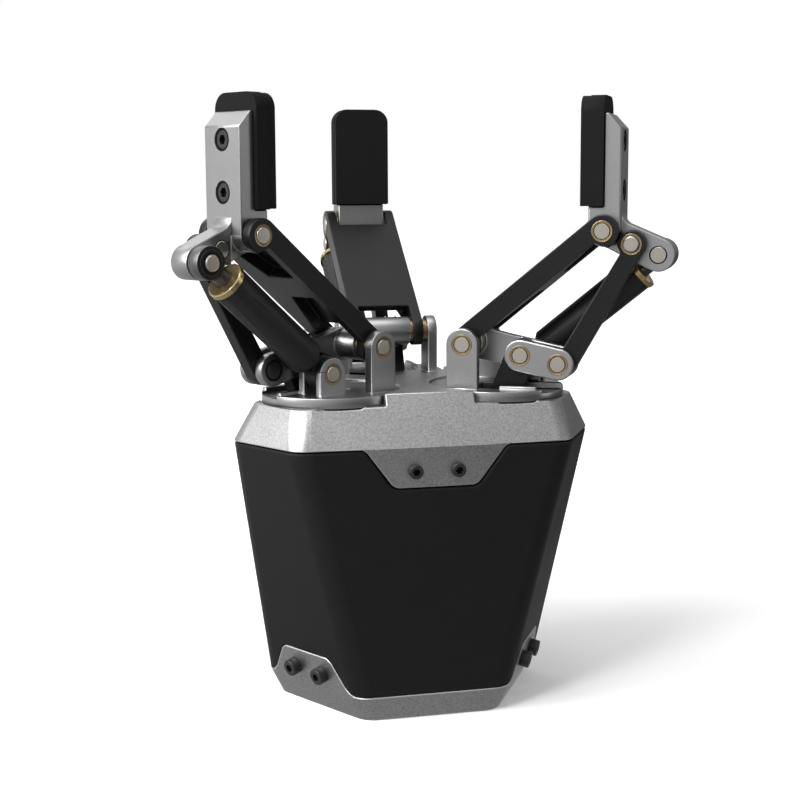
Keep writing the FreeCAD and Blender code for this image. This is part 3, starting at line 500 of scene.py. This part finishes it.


# The rings in the near-black gap finish are painted shade in the gaps round bushes, pins and holes
# radius, height over the face, finish from there inwards
bushing = [(3.42, -0.1, "darkGap"), (3.38, 0.03, "darkGap"), (3.3, 0.05, "bushRim"), (3.2, 0.1, "bushRim"),
           (3.1, 0.07, "bushBronze"), (2.8, 0.07, "bushRim"), (2.7, 0.07, "bushRim"), (2.62, 0.0, "darkGap"),
           (2.46, 0.0, "darkGap")]
patterns = {
    "bushedPin": bushing + [(2.44, 0.04, "pinSteel"), (2.32, 0.16, "pinSteel"), (0.9, 0.17, "pinSteel")],
    "darkPin": [(3.62, -0.1, "darkGap"), (3.5, 0.02, "darkGap"), (2.6, 0.02, "darkGap"),
                (2.5, 0.06, "eyeSteel"), (2.38, 0.12, "eyeSteel"), (0.9, 0.13, "eyeSteel")],
    "proudPin": bushing + [(2.5, 0.5, "pinSteel"), (2.15, 0.94, "pinSteel"), (0.9, 0.95, "pinSteel")],
    "plainPin": [(2.9, -0.1, "darkGap"), (2.85, 0.0, "darkGap"), (2.55, 0.0, "darkGap"),
                 (2.5, 0.04, "pinSteel"), (2.38, 0.14, "pinSteel"), (0.9, 0.15, "pinSteel")],
    "eyePin": [(4.0, -0.1, "linkBlack"), (3.9, 0.12, "linkBlack"), (3.3, 0.14, "darkGap"),
               (2.6, 0.14, "darkGap"), (2.5, 0.6, "pinSteel"), (2.15, 0.94, "pinSteel"),
               (0.9, 0.95, "pinSteel")],
    # A near-black cup round each tip screw: painted shade in the gap of its counterbore
    "screwGapShade": [(3.55, -0.3, "darkGap"), (3.5, 0.02, "darkGap"), (2.9, 0.02, "darkGap"),
                 (2.85, -2.0, "darkGap")],
    "collarRing": [(6.1, -1.75, "collarBrass"), (6.05, -0.25, "collarBrass"), (5.8, 0.05, "collarBrass"),
                   (5.3, 0.05, "countersink"), (3.1, -1.3, "countersink"), (2.9, -1.3, "darkGap")],
}
turnedPatterns = {name: steppedDisc(name, steps) for name, steps in patterns.items()}

pinSeats = (
    # what it is, pattern, pivot, across, the part it rides with
    ("shoulder_pin_a", "bushedPin", "shoulder", 17.4, "turntable"),
    ("shoulder_pin_b", "bushedPin", "shoulder", -17.4, "turntable"),
    ("wrist_pin_a", "bushedPin", "wrist", 12.6, "main_link"),
    ("wrist_pin_b", "bushedPin", "wrist", -12.6, "main_link"),
    ("drive_pin", "proudPin", "drivePin", -8.9, "drive_link"),
    ("drive_pin_inner", "plainPin", "drivePin", 3.9, "fingertip"),
    ("tip_pin", "plainPin", "strutTop", -3.9, "fingertip"),
    ("strut_top_pin", "eyePin", "strutTop", 9.0, "strut_rod"),
    ("strut_foot_pin", "bushedPin", "strutFoot", 12.0, "turntable"),
    ("strut_foot_inner", "bushedPin", "strutFoot", 1.4, "turntable"),
    ("elbow_pin", "bushedPin", "elbow", -11.5, "crank"),
    ("head_pin", "bushedPin", "crankHead", -11.5, "crank"),
    ("elbow_inner", "darkPin", "elbow", -0.6, "crank"),
    ("head_inner", "darkPin", "crankHead", -0.6, "crank"),
)
lookBack = ("strut_foot_inner", "elbow_inner", "head_inner")  # these look to the other side
washerSeats = (
    # what it is, pivot, from and to across, the part it rides with
    ("shoulder_washer", "shoulder", 8.22, 9.08, "turntable"),
    ("ear_washer", "shoulder", 12.62, 14.08, "turntable"),
    ("wrist_washer", "wrist", 8.47, 9.08, "fingertip"),
)
washerRadius = 4.0


def ridden(piece, finger, part):
    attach(piece, fingerBody(finger, part))


def strutSeat(direction, along):
    foot = pivots["strutFoot"]
    lean = math.radians(strutLook["angle"])
    outwards, up = foot[0] + along * math.cos(lean), foot[1] + along * math.sin(lean)
    place = Vector((outwards, strutLook["middle"], up)) * mm
    return turned(direction) @ Matrix.Translation(place) @ Matrix.Rotation(math.pi / 2 - lean, 4, "Y")


for finger, direction in directions.items():
    for label, pattern, pivot, across, part in pinSeats:
        piece = copied(turnedPatterns[pattern], finger + "_" + label)
        seat = sideSeat(direction, pivots[pivot], across)
        if label in lookBack:
            seat = seat @ Matrix.Rotation(math.pi, 4, "X")
        placed(piece, seat)
        ridden(piece, finger, part)
    ring = copied(turnedPatterns["collarRing"], finger + "_strut_collar")
    placed(ring, strutSeat(direction, strutLook["collarEnd"]))
    ridden(ring, finger, "strut_tube")
    for label, pivot, near, far, part in washerSeats:
        for side in (-1, 1):
            bpy.ops.mesh.primitive_cylinder_add(vertices=roundSides["washer"], radius=washerRadius * mm,
                                                depth=(far - near) * mm)
            washer = bpy.context.object
            washer.name = f"{finger}_{label}_{'near' if side < 0 else 'far'}"
            placed(washer, sideSeat(direction, pivots[pivot], side * (near + far) / 2))
            smoothed(washer)
            painted(washer, ["bushBronze"])
            ridden(washer, finger, part)
print("pins seated")


# Edges steeper than edgeAngle are broken. Faces within socketShare of the socket, and deeper than socketTop,
# are its inside, which is painted with shade
screwCare = {"edgeAngle": 60, "socketShare": 0.9, "socketTop": 0.1}


# A socket cap screw that stands on its seat
def capScrew(name, size):
    radius, height = size["radius"] * mm, size["height"] * mm
    bpy.ops.mesh.primitive_cylinder_add(vertices=roundSides["screw"], radius=radius, depth=height,
                                        location=(0, 0, height / 2))
    head = bpy.context.object
    head.name = name
    placed(head, head.matrix_world.copy())
    applied(head, "BEVEL", limit_method="ANGLE", angle_limit=math.radians(screwCare["edgeAngle"]),
            width=size["edge"] * mm, segments=3)
    depth = size["socketDepth"] * mm
    bpy.ops.mesh.primitive_cylinder_add(vertices=6, radius=size["socket"] * mm, depth=2 * depth,
                                        location=(0, 0, height))
    tool = bpy.context.object
    placed(tool, tool.matrix_world.copy())
    applied(head, "BOOLEAN", operation="DIFFERENCE", object=tool, solver="EXACT")
    discarded(tool)

    # The deep inside of the socket is painted dark as its shade
    def byDepth(face):
        reach = math.hypot(face.center.x, face.center.y)
        inside = reach < size["socket"] * mm * screwCare["socketShare"]
        deep = face.center.z < height - screwCare["socketTop"] * mm
        return "darkGap" if inside and deep else "screwBlack"

    painted(head, ["screwBlack", "darkGap"], byDepth)
    smoothed(head, smoothAngles["screw"])
    return head


tipScrew = {"radius": 2.95, "height": 2.35, "edge": 0.3, "socket": 1.6, "socketDepth": 1.5}
coverScrew = {"radius": 2.25, "height": 2.2, "edge": 0.35, "socket": 1.3, "socketDepth": 1.4}
baseScrew = {"radius": 2.75, "height": 3.0, "edge": 0.4, "socket": 1.45, "socketDepth": 1.8}
coverSeat = {"reach": 43.94, "up": 81.5, "pitch": 13.7, "lean": 2.62}
baseSeat = {"reach": 42.73, "up": 13.4, "pitch": 13.2, "lean": 13.0}
screwSeats = {"tipOut": 70.88, "face": 73.48, "tipUp": (167.1, 182.6)}

pattern = capScrew("tipScrew", tipScrew)
for finger, direction in directions.items():
    for count, up in enumerate(screwSeats["tipUp"]):
        piece = copied(pattern, f"{finger}_tip_screw_{count}")
        placed(piece, outwardSeat(direction, screwSeats["tipOut"], 0, up))
        ring = copied(turnedPatterns["screwGapShade"], f"{finger}_tip_gap_{count}")
        placed(ring, outwardSeat(direction, screwSeats["face"], 0, up))
        for item in (piece, ring):
            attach(item, finger + "_tip")
discarded(pattern)
for used in turnedPatterns.values():
    discarded(used)


def bodyScrews(node, size, facings, seat):
    pattern = capScrew(node + "_pattern", size)
    heads = []
    for facing in facings:
        for across in (-seat["pitch"] / 2, seat["pitch"] / 2):
            piece = copied(pattern, f"{node}_{len(heads)}")
            placed(piece, outwardSeat(facing, seat["reach"], across, seat["up"], seat["lean"]))
            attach(piece, "base")
            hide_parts(node)
            heads.append(piece)
    discarded(pattern)


bodyScrews("cover_screws", coverScrew, (-90, 30, 150), coverSeat)
bodyScrews("base_screws", baseScrew, (90, -30, -150), baseSeat)
print("screws set")


stageLook = {"floorSize": 12.0, "floorTone": 0.86, "floorRoughness": 0.9, "floorSpecular": 0.1,
             "whiteRange": (0.1, 0.9, 0.2, 0.95), "paintedFloorLightRange": (-0.35, 0.6, 0.1, 1.05),
             "worldRange": (-0.7, 0.9, 0.2, 1.0), "ambientRange": (0, 1, 0.45, 1),
             "brightWay": (-0.807, -0.142, 0.574), "paintedFloorLightWay": (-0.985, 0.17, 0)}


def makeStage():
    bpy.ops.mesh.primitive_plane_add(size=stageLook["floorSize"], location=(0, 0, 0))
    floor = bpy.context.object
    floor.name = "floor"
    made = bpy.data.materials.new("paleFloor")
    made.use_nodes = True
    tree = made.node_tree
    shader = tree.nodes["Principled BSDF"]
    tone = stageLook["floorTone"]
    shader.inputs["Base Color"].default_value = (tone, tone, tone, 1)
    shader.inputs["Roughness"].default_value = stageLook["floorRoughness"]
    shader.inputs["Specular IOR Level"].default_value = stageLook["floorSpecular"]
    light = addNode(tree, "LightPath")
    place = addNode(tree, "TexCoord")
    away = addNode(tree, "VectorMath", operation="LENGTH")
    tree.links.new(place.outputs["Object"], away.inputs[0])
    # The floor runs out to plain white, and shows the shadow near the part
    whiter = ranged(tree, away.outputs["Value"], stageLook["whiteRange"])
    shader.inputs["Emission Color"].default_value = (1, 1, 1, 1)
    seen = mathNode(tree, "MULTIPLY", light.outputs["Is Camera Ray"], whiter)
    tree.links.new(seen, shader.inputs["Emission Strength"])
    # Seen in reflections the floor glows, brighter towards the left: painted light standing for the lamps'
    # light on it
    leftwards = addNode(tree, "VectorMath", operation="DOT_PRODUCT")
    leftwards.inputs[1].default_value = stageLook["paintedFloorLightWay"]
    tree.links.new(place.outputs["Object"], leftwards.inputs[0])
    paintedFloorLight = ranged(tree, leftwards.outputs["Value"], stageLook["paintedFloorLightRange"])
    paintedFloorReflection = addNode(tree, "Emission")
    tree.links.new(paintedFloorLight, paintedFloorReflection.inputs["Strength"])
    chosen = addNode(tree, "MixShader")
    tree.links.new(light.outputs["Is Glossy Ray"], chosen.inputs[0])
    tree.links.new(shader.outputs[0], chosen.inputs[1])
    tree.links.new(paintedFloorReflection.outputs[0], chosen.inputs[2])
    tree.links.new(chosen.outputs[0], tree.nodes["Material Output"].inputs["Surface"])
    floor.data.materials.append(made)

    world = bpy.context.scene.world or bpy.data.worlds.new("studio")
    bpy.context.scene.world = world
    world.use_nodes = True
    tree = world.node_tree
    tree.nodes.clear()
    light = addNode(tree, "LightPath")
    place = addNode(tree, "TexCoord")
    side = addNode(tree, "VectorMath", operation="DOT_PRODUCT")
    side.inputs[1].default_value = stageLook["brightWay"]
    tree.links.new(place.outputs["Generated"], side.inputs[0])
    soft = ranged(tree, side.outputs["Value"], stageLook["worldRange"])
    shown = mathNode(tree, "MAXIMUM", light.outputs["Is Glossy Ray"], light.outputs["Is Transmission Ray"])
    share = ranged(tree, shown, stageLook["ambientRange"])
    lit = mathNode(tree, "MULTIPLY", soft, share)
    strength = mathNode(tree, "MAXIMUM", lit, light.outputs["Is Camera Ray"])
    background = addNode(tree, "Background")
    background.inputs["Color"].default_value = (1, 1, 1, 1)
    tree.links.new(strength, background.inputs["Strength"])
    output = addNode(tree, "OutputWorld")
    tree.links.new(background.outputs[0], output.inputs[0])


lamps = (
    # name, azimuth, elevation, distance, width, height, watts
    ("leftBox", -172, 30, 1.1, 0.6, 0.9, 12),
    ("keyStrip", -136, 42, 1.0, 0.22, 0.5, 6),
    ("topBox", -90, 82, 1.2, 0.8, 0.8, 5),
    ("rightBox", -14, 8, 1.4, 0.35, 0.7, 1.5),
    ("backBox", 110, 40, 1.4, 0.7, 0.5, 2),
)
lampAim = (0, 0, 0.1)


def makeLamps():
    middle = Vector(lampAim)
    for name, azimuth, elevation, distance, width, height, watts in lamps:
        lamp = bpy.data.lights.new(name, "AREA")
        lamp.shape = "RECTANGLE"
        lamp.size, lamp.size_y = width, height
        lamp.energy = watts
        holder = bpy.data.objects.new(name, lamp)
        bpy.context.scene.collection.objects.link(holder)
        turn, rise = math.radians(azimuth), math.radians(elevation)
        way = Vector((math.cos(turn) * math.cos(rise), math.sin(turn) * math.cos(rise), math.sin(rise)))
        holder.location = middle + way * distance
        holder.rotation_euler = (-way).to_track_quat("-Z", "Y").to_euler()


cameraView = {"eye": (-0.11997, -0.49065, 0.16899), "target": (0, 0, 0.09729), "focal": 68.23,
              "roll": -0.28, "shiftRight": -0.00325, "shiftUp": 0.0005, "sensor": 36, "nearest": 0.01}


def makeCamera():
    lens = bpy.data.cameras.new("photoCamera")
    lens.lens = cameraView["focal"]
    lens.sensor_width = cameraView["sensor"]
    lens.sensor_fit = "HORIZONTAL"
    lens.shift_x, lens.shift_y = cameraView["shiftRight"], cameraView["shiftUp"]
    lens.clip_start = cameraView["nearest"]
    holder = bpy.data.objects.new("photoCamera", lens)
    bpy.context.scene.collection.objects.link(holder)
    eye, target = Vector(cameraView["eye"]), Vector(cameraView["target"])
    holder.location = eye
    roll = Quaternion((0, 0, 1), math.radians(cameraView["roll"]))
    holder.rotation_euler = ((target - eye).to_track_quat("-Z", "Y") @ roll).to_euler()
    bpy.context.scene.camera = holder


makeStage()
makeLamps()
makeCamera()
bpy.context.scene.view_settings.view_transform = "Standard"
print("stage ready")
